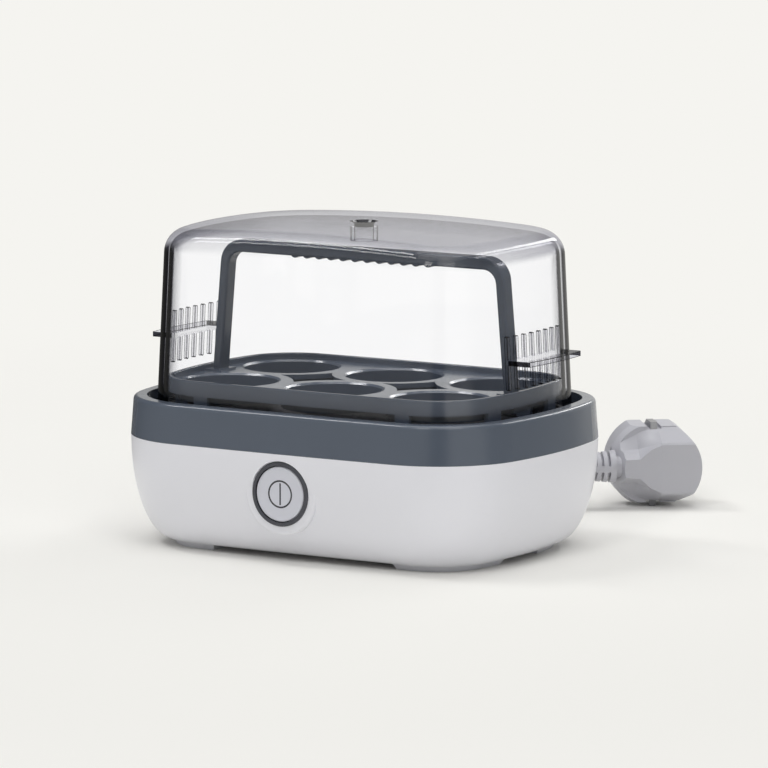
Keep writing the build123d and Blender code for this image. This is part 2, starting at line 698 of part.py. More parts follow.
def clamp_places():
    """The two screw posts beside the cord."""
    return (GLAND_X - CLAMP_X, GLAND_X + CLAMP_X)


def cord_gland():
    """Ribbed rubber bush that carries the cord through the back wall."""
    neck = rod_y(GLAND_NECK_R, GLAND_X, GLAND_Z, GLAND_INSIDE, GLAND_SEAT + 1)
    flange = rod_y(GLAND_FLANGE_R, GLAND_X, GLAND_Z, GLAND_INSIDE, GLAND_WALL)
    collar = rod_y(GLAND_COLLAR_R, GLAND_X, GLAND_Z, GLAND_SEAT, GLAND_SEAT + 2.2)
    length = GLAND_END - GLAND_SEAT - 1
    taper = Pos(GLAND_X, GLAND_END - length / 2, GLAND_Z) * Rot(-90, 0, 0) * Cone(6.4, CORD_D / 2 + 0.9, length)
    bush = neck + flange + collar + taper
    for k in range(GLAND_GROOVES):
        y = GLAND_SEAT + 6 + 4.2 * k
        groove = rod_y(9, GLAND_X, GLAND_Z, y, y + 1.6) - rod_y(4.1, GLAND_X, GLAND_Z, y - 1, y + 3)
        bush -= groove - box(GLAND_X - 1.4, GLAND_X + 1.4, y - 1, y + 3, GLAND_Z - 12, GLAND_Z + 12)
    return bush


def cord_inside():
    """Sheathed end of the cord between the bush and the connector."""
    return rod_y(CORD_D / 2, GLAND_X, GLAND_Z, CORD_STRIPPED, GLAND_INSIDE)


def cord_clamp():
    """Bar that presses the cord on its saddle."""
    high = CLAMP_LOW + CLAMP_BAR
    bar = box(GLAND_X - CLAMP_X - 4, GLAND_X + CLAMP_X + 4, CLAMP_Y - 3.8, CLAMP_Y + 3.8, CLAMP_LOW, high)
    bar = fillet(bar.edges().filter_by(Axis.Z), 2)
    for x in clamp_places():
        bar -= rod(1.5, x, CLAMP_Y, CLAMP_LOW - 1, high + 1)
    return bar - rod_y(CORD_D / 2 + 0.05, GLAND_X, GLAND_Z, CLAMP_Y - 8, CLAMP_Y + 8)


def clamp_screws():
    """Two screws through the clamp bar."""
    top = CLAMP_LOW + CLAMP_BAR
    return [rod(1.15, x, CLAMP_Y, 12, top) + rod(2.7, x, CLAMP_Y, top, top + 1.8) for x in clamp_places()]


def terminal_block():
    """Three-pole screw connector on the floor of the base."""
    floor = UNDERSIDE + FLOOR
    block = box(GLAND_X - 15, GLAND_X + 15, TERMINAL_Y - 6, TERMINAL_Y + 6, floor, floor + 9)
    for k in (-1, 0, 1):
        x = GLAND_X + k * POLE_PITCH
        block += rod(3.4, x, TERMINAL_Y, floor + 8, floor + 11.5)
        block -= rod(2.2, x, TERMINAL_Y, floor + 9.8, floor + 13)
    return block


def wire(points, radii):
    """A single insulated lead along straight runs and arcs."""
    path = FilletPolyline(*points, radius=radii)
    start = Plane(origin=path @ 0, z_dir=path % 0)
    return sweep(start * Circle(1.1), path=path)


def inner_wires():
    """Leads from the cord to the connector and on to the switch and the heater."""
    low = UNDERSIDE + FLOOR + 4.5
    back, front = TERMINAL_Y + 6, TERMINAL_Y - 6
    leads = []
    for k in (-1, 0, 1):
        x0, x1 = GLAND_X + 1.3 * k * 1.6, GLAND_X + k * POLE_PITCH
        z = GLAND_Z + 1.4 - 2.8 * (k == 0)
        leads.append(wire([(x0, CORD_STRIPPED, z), (x0, 37, z), (x1, 34.5, low), (x1, back, low)], [2.2, 2.2]))
    x = GLAND_X - POLE_PITCH
    tag = BUTTON_Z - 3.5
    leads.append(wire([(x, front, low), (x, 8, low), (-5, -8, tag), (-5, SWITCH_BACK + 4, tag)], [5, 5]))
    x = GLAND_X + POLE_PITCH
    end = PAN_FLOOR - SHEET - HEAT_PLATE - ELEMENT_D / 2 + BRAZE - 17
    leads.append(wire([(x, front, low), (x, 12, low), (ELEMENT_X, ELEMENT_Y, 9), (ELEMENT_X, ELEMENT_Y, end)], [3, 3]))
    return leads


def along_heading():
    """Unit vector along the table that points from the cord into the plug."""
    return Vector(cos(radians(PLUG_HEADING)), sin(radians(PLUG_HEADING)), 0)


def coil_point(centre, radius, angle, z):
    """A point on a turn of the coil."""
    return Vector(centre.X + radius * cos(angle), centre.Y + radius * sin(angle), z)


def coil_path():
    """Quarter-turn arcs that spiral in on the top layer, step down and spiral out below."""
    low = COIL_LIFT + CORD_D / 2
    z = low + LAYER_STEP
    centre = Vector(COIL_X, COIL_Y)
    quarter = pi / 2
    shrink = COIL_PITCH / 4
    turns = COIL_QUARTERS_IN + 2 + COIL_QUARTERS_OUT
    angle = radians(COIL_HEADING) - quarter - turns * quarter
    radius = COIL_R
    start = coil_point(centre, radius, angle, z)
    heading = Vector(-sin(angle), cos(angle), 0)
    edges = [Edge.make_line(start - heading * CORD_D, start)]
    steps = [-shrink] * COIL_QUARTERS_IN + [0] + [shrink] * (COIL_QUARTERS_OUT + 1)
    for k, step in enumerate(steps):
        angle += quarter
        falling = k - COIL_QUARTERS_IN
        reach = radius
        if falling == 0:
            z -= LAYER_STEP / 2
            reach = sqrt(radius**2 + LAYER_STEP**2 / 4)
        if falling == 1:
            z -= LAYER_STEP / 2
        end = coil_point(centre, reach, angle, z)
        edges.append(Edge.make_tangent_arc(start, heading, end))
        heading = edges[-1] % 1
        start = end
        centre = centre + Vector(cos(angle), sin(angle)) * -step
        radius += step
    edges.append(Edge.make_line(start, start + heading * CORD_D))
    return Wire(edges)


def least_gap(path, diameter):
    """Least gap between stretches of a tube that aren't neighbours along it."""
    count = int(path.length / 3)
    points = [path.position_at(k / count) for k in range(count + 1)]
    apart = int(3 * diameter / 3) + 1
    gaps = [(p - q).length for i, p in enumerate(points) for q in points[i + apart :]]
    return min(gaps) - diameter


def cord_coil():
    """The put-away length of the cord, three and three quarter turns in two layers."""
    path = coil_path()
    print("coil length", round(path.length, 1), "least gap", round(least_gap(path, CORD_D), 2))
    start = Plane(origin=path @ 0, z_dir=path % 0)
    return sweep(start * Circle(CORD_D / 2), path=path)


def corner_radii(points):
    """Arc radii for a cord's route: as large as the two runs at each corner allow."""
    radii = []
    for before, corner, after in zip(points, points[1:], points[2:]):
        turn = radians((corner - before).get_angle(after - corner))
        radii.append(0.45 * min((corner - before).length, (after - corner).length) / tan(turn / 2))
    return radii


def free_cord(name, points):
    """A free stretch of the cord."""
    radii = corner_radii(points)
    path = FilletPolyline(*points, radius=radii)
    start = Plane(origin=path @ 0, z_dir=path % 0)
    tube = sweep(start * Circle(CORD_D / 2), path=path)
    section = pi * CORD_D**2 / 4
    print(name, "radii", [round(r, 1) for r in radii], "length", round(path.length, 1),
          "volume over section times length", round(tube.volume / (section * path.length), 4))
    return tube


def cord_lead():
    """From the bush over the other stretch to the top layer of the coil."""
    start = Vector(GLAND_X, GLAND_END, GLAND_Z)
    return free_cord("lead", [start, *[Vector(*point) for point in LEAD_ROUTE], coil_path() @ 0])


def cord_tail():
    """From the lowest turn of the coil along the table and up into the plug's sleeve."""
    start = coil_path() @ 1
    return free_cord("tail", [start, *[Vector(*point) for point in TAIL_ROUTE], relief_end()])


def cord_tie():
    """Band round the bundle of turns."""
    low = COIL_LIFT + CORD_D / 2
    r_in = COIL_R - 2 * COIL_PITCH - CORD_D / 2 - 0.3
    r_out = COIL_R + CORD_D / 2 + 0.3
    top = low + CORD_D * 1.5 + LAYER_STEP - CORD_D
    block = box(r_in - TIE_T, r_out + TIE_T, -TIE_W / 2, TIE_W / 2, COIL_LIFT - TIE_T, top + TIE_T)
    block = fillet(block.edges().filter_by(Axis.Y), TIE_ROUND)
    hollow = box(r_in, r_out, -TIE_W, TIE_W, COIL_LIFT, top)
    band = block - fillet(hollow.edges().filter_by(Axis.Y), TIE_ROUND - TIE_T)
    return Pos(COIL_X, COIL_Y) * Rot(0, 0, 160) * band


def plug_plane():
    """Frame of the plug: x towards its cable, y up, z along its pins."""
    cable = along_heading() * -1
    pins = Vector(-sin(radians(PLUG_HEADING)), cos(radians(PLUG_HEADING)), 0)
    lean = radians(PLUG_LEAN)
    axis = pins * cos(lean) + Vector(0, 0, sin(lean))
    return Plane(origin=(PLUG_X, PLUG_Y, PLUG_CENTRE_Z), x_dir=cable, z_dir=axis)


def hood_section(x, corners):
    """A cross section of the plug's back, square to the cable, from its half of corners."""
    points = corners + [(-y, z) for y, z in reversed(corners)]
    return Wire(Polyline(*[(x, y, z) for y, z in points], close=True).edges())


def plug_hood():
    """Back of the plug: a broad ridge that narrows in an S to the cable's throat, with facets to the rim."""
    wide = [(PLUG_R - 2, HOOD_BASE), (RIDGE_HALF, PLUG_BACK + 0.6), (RIDGE_HALF - 0.8, PLUG_BACK)]
    waist = [(PLUG_R - 2, HOOD_BASE), (RIDGE_HALF - 2, -13.6), (RIDGE_HALF - 2.9, PLUG_BACK + 0.5)]
    throat = [(PLUG_R - 2, HOOD_BASE), (THROAT_HALF + 0.2, -10.4), (THROAT_HALF - 2.9, PLUG_BACK + 1.2)]
    mouth = [(THROAT_HALF + 0.4, HOOD_BASE), (THROAT_HALF, PLUG_AXIS), (THROAT_HALF - 3.6, PLUG_AXIS - 6.1)]
    places = [(-PLUG_R - 2, wide), (-1.5, wide), (3.0, waist), (THROAT_X, throat), (PLUG_R + 1, mouth)]
    hood = Solid.make_loft([hood_section(x, corners) for x, corners in places], ruled=True)
    throat_bar = Pos(0, 0, PLUG_AXIS) * Rot(0, 90, 0) * Cylinder(RELIEF_R, 30)
    return hood + (throat_bar & box(THROAT_X, PLUG_R + 1, -PLUG_R, PLUG_R, -30, HOOD_BASE + 1))


def plug_body():
    """Round angled plug with flats, grooves for the earth contacts and a faceted back."""
    disc = Pos(0, 0, (PLUG_FRONT + PLUG_SHOULDER) / 2) * Cylinder(PLUG_R, PLUG_FRONT - PLUG_SHOULDER)
    disc = fillet(disc.edges().group_by(Axis.Z)[-1], 1.2)
    body = disc + plug_hood()
    taper = HOOD_TAPER_FROM + 20
    keep = Pos(0, 0, -20 + taper / 2) * Cone(HOOD_TAPER_R, PLUG_R, taper)
    keep += Pos(0, 0, HOOD_TAPER_FROM + 10) * Cylinder(PLUG_R, 20)
    keep += Pos(0, 0, -10) * Cylinder(PLUG_R, 24) & box(-20, 2, -20, 20, -25, 0)
    body &= keep
    for sy in (-1, 1):
        body -= box(-14, 14, sy * PLUG_FLAT, sy * (PLUG_R + 2), -30, PLUG_FRONT + 1)
        floor = PLUG_FLAT - EARTH_DEEP
        body -= box(-EARTH_SLOT / 2, EARTH_SLOT / 2, sy * floor, sy * PLUG_R, PLUG_SHOULDER - 1, PLUG_FRONT + 1)
    body -= box(RELIEF_FROM, PLUG_R + 2, -THROAT_HALF - 0.3, THROAT_HALF + 0.3, -30, PLUG_AXIS + RELIEF_R + 0.2)
    body -= Pos(RELIEF_FROM, 0, PLUG_AXIS) * Rot(0, 90, 0) * Cylinder(RELIEF_TENON_R + 0.1, 8)
    return plug_plane() * body


def plug_relief():
    """Slotted sleeve where the cord enters the plug, with a thinner end inside it."""
    length = RELIEF_TO - RELIEF_FROM
    along = Rot(0, 90, 0)
    sleeve = Pos(RELIEF_FROM + length / 2, 0, PLUG_AXIS) * along * Cone(RELIEF_R, RELIEF_END_R, length)
    sleeve += Pos(RELIEF_FROM - 1, 0, PLUG_AXIS) * along * Cylinder(RELIEF_TENON_R, 5)
    for k in range(RELIEF_SLOTS):
        x = RELIEF_FROM + 2.5 + RELIEF_PITCH * k
        slot = Pos(x + RELIEF_SLOT / 2, 0, PLUG_AXIS) * along * (Cylinder(9, RELIEF_SLOT) - Cylinder(4.3, 3))
        sleeve -= slot - box(x - 1, x + 2, -RELIEF_WEB, RELIEF_WEB, PLUG_AXIS - 9, PLUG_AXIS + 9)
    return plug_plane() * sleeve


def relief_end():
    """Where the cord leaves the sleeve of the plug."""
    return plug_plane().from_local_coords(Vector(RELIEF_TO, 0, PLUG_AXIS))


def plug_pins():
    """Two round contact pins."""
    pins = []
    for sx in (-1, 1):
        pin = Pos(sx * PIN_X, 0, PLUG_FRONT + PIN_LENGTH / 2) * Cylinder(PIN_R, PIN_LENGTH)
        pins.append(plug_plane() * fillet(pin.edges().group_by(Axis.Z)[-1], 1.2))
    return pins


def plug_earth_clips():
    """Arched spring contacts in the grooves of both flats."""
    floor, top = PLUG_FLAT - EARTH_DEEP, PLUG_FLAT + EARTH_PROUD
    clips = []
    for sy in (-1, 1):
        arch = [(PLUG_SHOULDER, floor), (PLUG_SHOULDER + 0.6, top), (3.5, top - 0.5), (PLUG_FRONT - 1.2, floor)]
        profile = make_face(Polyline(*[(z, sy * y) for z, y in arch], close=True))
        plane = Plane(origin=(EARTH_W / 2, 0, 0), x_dir=(0, 0, 1), z_dir=(-1, 0, 0))
        clips.append(plug_plane() * extrude(plane * profile, EARTH_W))
    return clips


NODES = {
    "lower_housing": lower_housing,
    "upper_housing": upper_housing,
    "heating_pan": heating_pan,
    "pan_seal": pan_seal,
    "pan_studs": pan_studs,
    "stud_nuts": stud_nuts,
    "pan_brackets": pan_brackets,
    "bracket_screws": bracket_screws,
    "housing_screws": housing_screws,
    "heat_plate": heat_plate,
    "heating_element": heating_element,
    "thermostat": thermostat,
    "thermostat_clip": thermostat_clip,
    "thermal_fuse": thermal_fuse,
    "button_ring": button_ring,
    "push_button": push_button,
    "switch_plunger": switch_plunger,
    "switch_body": switch_body,
    "switch_bracket": switch_bracket,
    "switch_screws": switch_screws,
    "egg_tray": egg_tray,
    "tray_handle": tray_handle,
    "lid": lid,
    "cord_gland": cord_gland,
    "cord_inside": cord_inside,
    "cord_clamp": cord_clamp,
    "clamp_screws": clamp_screws,
    "terminal_block": terminal_block,
    "inner_wires": inner_wires,
    "cord_lead": cord_lead,
    "cord_coil": cord_coil,
    "cord_tail": cord_tail,
    "cord_tie": cord_tie,
    "plug_body": plug_body,
    "plug_relief": plug_relief,
    "plug_pins": plug_pins,
    "plug_earth_clips": plug_earth_clips,
}

for name, make in NODES.items():
    made = make()
    shape = Compound(made) if isinstance(made, list) else made
    export_step(shape, f"parts/{name}.step")
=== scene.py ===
from math import cos, hypot, pi, radians, sin, sqrt

import bmesh
import bpy
from mathutils import Matrix, Vector


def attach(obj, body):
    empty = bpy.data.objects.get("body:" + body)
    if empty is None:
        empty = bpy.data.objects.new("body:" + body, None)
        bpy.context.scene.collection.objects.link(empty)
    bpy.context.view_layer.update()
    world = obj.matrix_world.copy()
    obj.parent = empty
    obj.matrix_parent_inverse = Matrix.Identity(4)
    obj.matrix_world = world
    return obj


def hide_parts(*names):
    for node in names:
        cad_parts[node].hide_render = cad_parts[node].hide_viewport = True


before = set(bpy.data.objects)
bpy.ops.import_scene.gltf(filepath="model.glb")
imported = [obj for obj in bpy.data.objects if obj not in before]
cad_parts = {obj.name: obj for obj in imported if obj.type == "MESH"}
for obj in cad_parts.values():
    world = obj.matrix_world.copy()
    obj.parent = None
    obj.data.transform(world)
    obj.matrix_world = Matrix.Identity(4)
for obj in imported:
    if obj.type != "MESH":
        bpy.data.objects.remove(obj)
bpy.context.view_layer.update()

# Electric egg cooker. All sizes are in metres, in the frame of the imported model:
# origin on the table under the middle of the base, +X along its length, -Y the button's side, +Z up.

# Camera at the photograph's viewing angle
TARGET = Vector((0.0095, 0.0, 0.0669))
CAMERA_AZIMUTH = radians(31.4)
CAMERA_ELEVATION = radians(8.11)
CAMERA_DISTANCE = 2.456
LENS_MM = 281.25

# Lead: from the bush to the coil, the coil's quarter turns in, down and out, and on to the plug.
# The coil's pitch and layer step leave a gap between the turns, and its heading is the way out.
CORD_D = 0.007
LEAD_ROUTE = [(-0.0200, 0.0900, 0.0180), (-0.0200, 0.1015, 0.0180),
              (-0.0210, 0.1128, 0.0151), (-0.0243, 0.1232, 0.0122)]
TAIL_ROUTE = [(-0.0342, 0.0915, 0.0045), (-0.0199, 0.0959, 0.0053), (-0.0054, 0.0998, 0.0089),
              (0.0083, 0.1046, 0.0141), (0.0212, 0.1112, 0.0182), (0.03189, 0.12016, 0.01819)]
COIL_CENTRE = Vector((-0.0707, 0.1232, 0.0))
COIL_R = 0.043
COIL_PITCH = 0.0077
LAYER_STEP = 0.0076
COIL_LIFT = 0.001
QUARTERS_IN = 7
QUARTERS_DOWN = 2
QUARTERS_OUT = 6
POINTS_A_QUARTER = 4
COIL_HEADING = radians(22.0)

# End walls of the lid, as in the model: each is bowed (twice its radius), leans in by a share of
# the height, and stands this far out at the table's height
END_BOW = 0.345
END_LEAN = 0.0488
END_FOOT = 0.08447
SKIN = 0.0001

# Ribs and grip on an end wall: how far they reach, and the width of the dark lines painted on their
# edges as refraction
RIB_MID = 0.0008
RIB_TOP = 0.0018
RIB_LINE = 0.00024
RIBS_SIDE = 0.0216
GRIP_Z = 0.083
GRIP_HALF = 0.001
GRIP_NEAR = 0.0014
GRIP_END = 0.0916
GRIP_SIDE = 0.0204
RIM_LINE = 0.00022
RIM_BORDER = 0.0005
FACES_SIDEWAYS = 0.45
FACES_UP = 0.4

# Steam hole: where painted shade darkens the hole and a thin ring round it
HOLE_SHADE_R = 0.0058
HOLE_SHADE_LOW = 0.1312

# Sign on the push button
BUTTON_Z = 0.0293
BUTTON_FACE = -0.06475
BUTTON_DISH = 0.0002
DISH_R = 0.260
SIGN_R = 0.0057
SIGN_LINE = 0.0007
SIGN_BAR = 0.0089
SIGN_LIFT = 0.00003
SIGN_STEPS = 64
BAR_STEPS = 8

# Colours, linear
PAPER = (0.913, 0.905, 0.871, 1.0)
BRIGHT = (1.0, 1.0, 1.0, 1.0)
WHITE = (0.885, 0.89, 0.945, 1.0)
SLATE = (0.088, 0.108, 0.145, 1.0)
TRAY_GREY = (0.098, 0.120, 0.165, 1.0)
HANDLE_GREY = (0.054, 0.069, 0.100, 1.0)
RING_GREY = (0.062, 0.064, 0.078, 1.0)
BUTTON_GREY = (0.70, 0.71, 0.78, 1.0)
SIGN_GREY = (0.045, 0.045, 0.055, 1.0)
PLUG_GREY = (0.50, 0.50, 0.54, 1.0)
CORD_GREY = (0.42, 0.42, 0.44, 1.0)
TIE_BLACK = (0.03, 0.03, 0.03, 1.0)
SWITCH_BLACK = (0.03, 0.03, 0.032, 1.0)
THERMOSTAT_BROWN = (0.03, 0.028, 0.026, 1.0)
WIRE_BROWN = (0.30, 0.16, 0.08, 1.0)
SEAL_GREY = (0.16, 0.16, 0.17, 1.0)
SLEEVE_CREAM = (0.7, 0.68, 0.6, 1.0)
PAN_STEEL = (0.13, 0.13, 0.14, 1.0)
PLATED_STEEL = (0.66, 0.67, 0.66, 1.0)
ALUMINIUM = (0.72, 0.72, 0.73, 1.0)
ELEMENT_STEEL = (0.42, 0.40, 0.38, 1.0)
PIN_METAL = (0.78, 0.77, 0.74, 1.0)
CLIP_METAL = (0.40, 0.40, 0.42, 1.0)

# What the clear lid lets through, from face on (0) to edge on (1), with painted shade: its walls,
# painted dark edge on as refraction, and its top, painted grey at a slant and dark at its outline as
# reflection of darker surroundings
WALL_TINTS_PAINTED_DARK = [(0.0, (0.997, 0.997, 0.998, 1.0)), (0.57, (0.99, 0.99, 0.992, 1.0)),
              (0.64, (0.06, 0.06, 0.08, 1.0)), (0.80, (0.01, 0.01, 0.015, 1.0)),
              (0.95, (0.12, 0.12, 0.14, 1.0))]
TOP_TINTS_PAINTED_GREY = [(0.0, (0.98, 0.98, 0.982, 1.0)), (0.30, (0.88, 0.88, 0.89, 1.0)),
             (0.50, (0.76, 0.76, 0.78, 1.0)), (0.70, (0.66, 0.66, 0.69, 1.0)),
             (0.93, (0.68, 0.68, 0.71, 1.0)), (0.985, (0.22, 0.22, 0.24, 1.0))]
RIB_TINT = (0.84, 0.84, 0.86, 1.0)
GRIP_TINT = (0.90, 0.90, 0.92, 1.0)
PAINTED_DARK_TINT = (0.03, 0.03, 0.04, 1.0)

# What gloss sees round the object: compass direction in degrees from the button's side, and tone.
# Two bright boxes stand either side of a dark gap, and the left end of the studio is dark.
ROOM_TONES = [(-180, 0.85), (-150, 0.85), (-138, 0.15), (-92, 0.12), (-62, 0.45), (-35, 0.62),
              (17, 0.66), (24, 0.18), (39, 0.18), (46, 0.95), (82, 0.90), (94, 0.42), (150, 0.42),
              (168, 0.85), (180, 0.85)]

# Floor and world: where the floor turns into the plain backdrop for the eye and for gloss
FLOOR_HALF = 6.0
EYE_FADE = (0.28, 0.7)
GLOSS_FADE = (0.15, 0.35)
WORLD_LIGHT = 0.30

# Soft boxes: name, place, what they face, size, watts, and the direction of their first side.
# The two strips lie so that the lid's front edge and its right edge mirror them along their length.
LAMPS = [
    ("top_box", (0.1, 0.05, 1.6), (0.0, 0.0, 0.05), (1.3, 1.2), 10.0, (1.0, 0.0, 0.0)),
    ("left_strip", (-0.92, -0.28, 1.63), (0.0, 0.0, 0.1), (0.72, 0.20), 7.5, (-0.485, 0.256, -0.263)),
    ("front_box", (0.24, -1.24, 1.24), (0.0, 0.0, 0.1), (0.36, 0.42), 2.9, (1.0, 0.0, 0.0)),
    ("right_box", (0.95, -0.84, 1.24), (0.0, 0.0, 0.1), (0.8, 0.7), 3.3, (0.84, 0.95, 0.0)),
    ("back_strip", (0.245, 1.25, 0.915), (0.0, 0.0, 0.1), (1.2, 0.13), 4.6, (0.71, -0.56, 0.75)),
]


class Shader:
    """A node tree of a material or a world, with short calls for the nodes used here."""

    def __init__(self, name, holder=None):
        self.material = holder or bpy.data.materials.new(name)
        self.material.use_nodes = True
        self.tree = self.material.node_tree
        self.tree.nodes.clear()
        self.coords = self.tree.nodes.new("ShaderNodeTexCoord").outputs
        self.place = self.coords["Object"]

    def node(self, kind, inputs=(), **settings):
        """Adds a node; inputs are sockets to link or values to set."""
        made = self.tree.nodes.new("ShaderNode" + kind)
        for name, value in settings.items():
            setattr(made, name, value)
        for key, value in dict(inputs).items():
            if isinstance(value, bpy.types.NodeSocket):
                self.tree.links.new(value, made.inputs[key])
            else:
                made.inputs[key].default_value = value
        return made

    def math(self, operation, *values):
        return self.node("Math", enumerate(values), operation=operation).outputs[0]

    def size_of(self, value):
        return self.math("ABSOLUTE", value)

    def over(self, value, limit):
        return self.math("GREATER_THAN", value, limit)

    def under(self, value, limit):
        return self.math("LESS_THAN", value, limit)

    def both(self, first, second):
        return self.math("MULTIPLY", first, second)

    def either(self, first, second):
        return self.math("MAXIMUM", first, second)

    def away_from(self, value, middle):
        return self.size_of(self.math("SUBTRACT", value, middle))

    def mixed(self, share, first, second):
        """A colour between two: inputs 6 and 7 and output 2 are the node's colour sockets."""
        return self.node("Mix", {0: share, 6: first, 7: second}, data_type="RGBA").outputs[2]

    def ramp(self, value, stops):
        """A colour ramp whose stops are (position, colour)."""
        made = self.node("ValToRGB", {"Fac": value})
        elements = made.color_ramp.elements
        while len(elements) < len(stops):
            elements.new(1.0)
        for element, (position, colour) in zip(elements, stops):
            element.position = position
            element.color = colour
        return made.outputs[0]

    def noise(self, scale, detail=3.0, rough=0.5, stretch=None):
        place = self.place
        if stretch:
            place = self.node("Mapping", {"Vector": place, "Scale": stretch}).outputs[0]
        inputs = {"Vector": place, "Scale": scale, "Detail": detail, "Roughness": rough}
        return self.node("TexNoise", inputs).outputs[0]

    def spread(self, value, low, high, start=0.3, stop=0.7):
        """A value between start and stop, which is where noise mostly lies, moved to low and high."""
        inputs = {"Value": value, "From Min": start, "From Max": stop, "To Min": low, "To Max": high}
        return self.node("MapRange", inputs).outputs[0]

    def fade(self, value, start, stop):
        inputs = {"Value": value, "From Min": start, "From Max": stop}
        return self.node("MapRange", inputs, interpolation_type="SMOOTHSTEP").outputs[0]

    def length(self, vector):
        return self.node("VectorMath", {0: vector}, operation="LENGTH").outputs["Value"]

    def tones(self, value, colour, depth, start=0.3, stop=0.7):
        """A colour a little darker and paler by turns."""
        dark = [c * (1 - depth) for c in colour[:3]] + [1.0]
        pale = [min(1.0, c * (1 + depth)) for c in colour[:3]] + [1.0]
        return self.ramp(value, [(start, dark), (stop, pale)])

    def bump(self, height, strength, distance, under=None):
        inputs = {"Height": height, "Strength": strength, "Distance": distance}
        if under:
            inputs["Normal"] = under
        return self.node("Bump", inputs).outputs[0]

    def blend(self, share, first, second):
        return self.node("MixShader", {0: share, 1: first.outputs[0], 2: second.outputs[0]})

    def show(self, shader, kind="OutputMaterial"):
        self.node(kind, {"Surface": shader.outputs[0]})
        return self.material


# Materials
def moulded(name, colour, rough=0.35, grain=0.15, depth=0.02, coat=0.0, ior=1.5, uneven=0.02):
    """Moulded plastic: faint clouding of the colour, slight waves, a fine grain and uneven gloss."""
    s = Shader(name)
    waves = s.bump(s.noise(30.0, 1.0), 0.02, 0.0002)
    normal = s.bump(s.noise(2400.0, 2.0), grain, 0.000003, waves)
    inputs = {
        "Base Color": s.tones(s.noise(30.0, 4.0), colour, depth),
        "Roughness": s.spread(s.noise(140.0, 3.0), rough - uneven, rough + uneven),
        "IOR": ior,
        "Normal": normal,
    }
    if coat:
        inputs["Coat Weight"] = coat
        inputs["Coat Roughness"] = 0.06
    return s.show(s.node("BsdfPrincipled", inputs))


def metal(name, colour, rough=0.2, brush=(1.0, 1.0, 1.0), depth=0.06):
    """Bare or plated metal with fine drawing marks and uneven polish."""
    s = Shader(name)
    marks = s.noise(900.0, 3.0, 0.6, brush)
    inputs = {
        "Base Color": s.tones(s.noise(60.0, 4.0), colour, depth),
        "Metallic": 1.0,
        "Roughness": s.spread(marks, rough * 0.75, rough * 1.35),
        "Normal": s.bump(marks, 0.15, 0.000005),
    }
    return s.show(s.node("BsdfPrincipled", inputs))


def lid_edges(s, place, tint, side, level):
    """Tints the ribs and grips, paints dark lines where their edges bend the light away, and paints
    shade over the steam hole.
    """
    along, across = s.size_of(place["X"]), s.size_of(place["Y"])

    # How far a point stands out from the bowed, leaning end wall
    reach = s.math("ADD", along, s.math("MULTIPLY", s.math("MULTIPLY", across, across), 1 / END_BOW))
    depth = s.math("ADD", reach, s.math("MULTIPLY_ADD", place["Z"], END_LEAN, -END_FOOT))
    outside = s.both(s.over(depth, -SKIN), s.under(across, RIBS_SIDE))

    # Ribs: painted dark lines along both edges of their sides, and their ends
    rib_side = s.over(side, FACES_SIDEWAYS)
    rib_edge = s.over(s.away_from(depth, RIB_MID), RIB_MID - RIB_LINE)
    off_grip = s.away_from(place["Z"], GRIP_Z)
    rib_end = s.both(s.over(level, FACES_UP), s.over(off_grip, GRIP_NEAR))

    # Grip: painted dark lines along its upper and lower edges, and round the border of its faces
    on_rim = s.under(s.away_from(off_grip, GRIP_HALF), RIM_LINE)
    rim_side = s.both(on_rim, s.under(level, FACES_UP))
    border = s.either(s.over(reach, GRIP_END - RIM_BORDER), s.over(across, GRIP_SIDE))
    rim_top = s.both(border, s.over(level, FACES_UP))
    rim = s.both(s.either(rim_side, rim_top), s.over(depth, RIB_TOP))
    lines = s.both(outside, s.either(s.either(s.both(rib_side, rib_edge), rib_end), rim))

    # Steam hole: painted shade over the hole and a thin ring of the top round it
    from_hole = s.length(s.node("CombineXYZ", {"X": place["X"], "Y": place["Y"]}).outputs[0])
    hole = s.both(s.under(from_hole, HOLE_SHADE_R), s.over(place["Z"], HOLE_SHADE_LOW))

    tint = s.mixed(s.both(outside, rib_side), tint, RIB_TINT)
    tint = s.mixed(s.both(outside, s.under(off_grip, GRIP_NEAR)), tint, GRIP_TINT)
    return s.mixed(s.either(lines, hole), tint, PAINTED_DARK_TINT)


def clear_lid(name):
    """Clear moulding with painted shade: painted dark where its corners and edges are seen edge on, as
    refraction, and painted grey across its top where it is seen at a slant.
    """
    s = Shader(name)
    normal = s.bump(s.noise(26.0, 1.0), 0.10, 0.0006)
    facing = s.node("LayerWeight", {"Blend": 0.5}).outputs["Facing"]
    place = s.node("SeparateXYZ", {0: s.place}).outputs
    turned = s.node("SeparateXYZ", {0: s.coords["Normal"]}).outputs
    side, level = s.size_of(turned["Y"]), s.size_of(turned["Z"])

    # The painted dark band at the lid's corners, standing in for refraction, is narrower at its right
    # end
    edge = s.math("SUBTRACT", facing, s.spread(place["X"], 0.0, 0.05, -0.05, 0.05))
    on_top = s.spread(level, 0.0, 1.0, 0.10, 0.36)
    tint = s.mixed(on_top, s.ramp(edge, WALL_TINTS_PAINTED_DARK), s.ramp(facing, TOP_TINTS_PAINTED_GREY))
    clear = s.node("BsdfTransparent", {"Color": lid_edges(s, place, tint, side, level)})
    gloss = s.node("BsdfGlossy", {"Color": BRIGHT, "Normal": normal,
                                  "Roughness": s.spread(s.noise(300.0), 0.02, 0.045)})
    share = s.math("MULTIPLY_ADD", s.math("POWER", facing, 5.0), 0.45, 0.020)
    return s.show(s.blend(share, clear, gloss))


# Pieces
def give(material, *names):
    """Sets the material of carried-over pieces."""
    for name in names:
        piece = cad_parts[name]
        piece.data.materials.clear()
        piece.data.materials.append(material)
        for face in piece.data.polygons:
            face.material_index = 0


